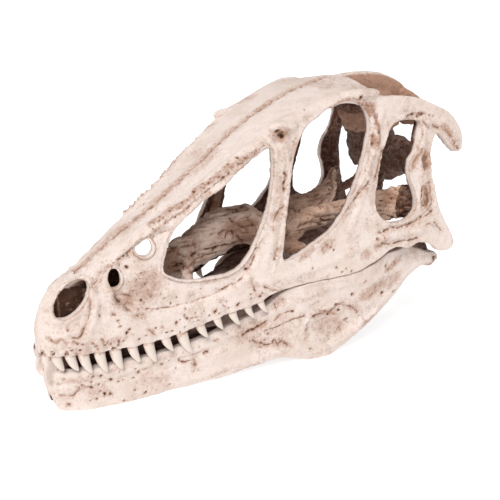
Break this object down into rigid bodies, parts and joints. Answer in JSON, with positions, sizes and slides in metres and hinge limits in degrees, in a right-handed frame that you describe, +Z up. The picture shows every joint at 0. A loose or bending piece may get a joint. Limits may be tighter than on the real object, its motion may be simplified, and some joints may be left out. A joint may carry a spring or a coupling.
{
  "type": "dinosaur skull fossil",
  "caption": "Long, low predatory dinosaur skull with large openings, recurved upper teeth and closed jaws, a still museum model that rests on its lower jaw.",
  "frame": {"origin": "centre of the underside of the box, level with the surface the lower jaw rests on", "axes": "-X towards the snout tip, +X towards the back of the skull, +Y towards the animal's right side, +Z up"},
  "size_m": [0.4276, 0.1644, 0.2632],
  "materials": {
    "bone": "matt, dry ivory bone with brown stains in its hollows and cracks",
    "inner_bone": "matt grey-brown bone, stained all over"
  },
  "bodies": {
    "root": {"premaxilla": "bone", "parietal": "bone", "braincase": "inner_bone", "palate": "inner_bone", "maxilla_left": "bone", "maxilla_right": "bone", "nasal_left": "bone", "nasal_right": "bone", "lacrimal_left": "bone", "lacrimal_right": "bone", "frontal_left": "bone", "frontal_right": "bone", "postorbital_left": "bone", "postorbital_right": "bone", "squamosal_left": "bone", "squamosal_right": "bone", "quadrate_left": "bone", "quadrate_right": "bone", "quadratojugal_left": "bone", "quadratojugal_right": "bone", "jugal_left": "bone", "jugal_right": "bone", "dentary_left": "bone", "dentary_right": "bone", "surangular_left": "bone", "surangular_right": "bone", "articular_left": "bone", "articular_right": "bone"}
  },
  "joints": []
}
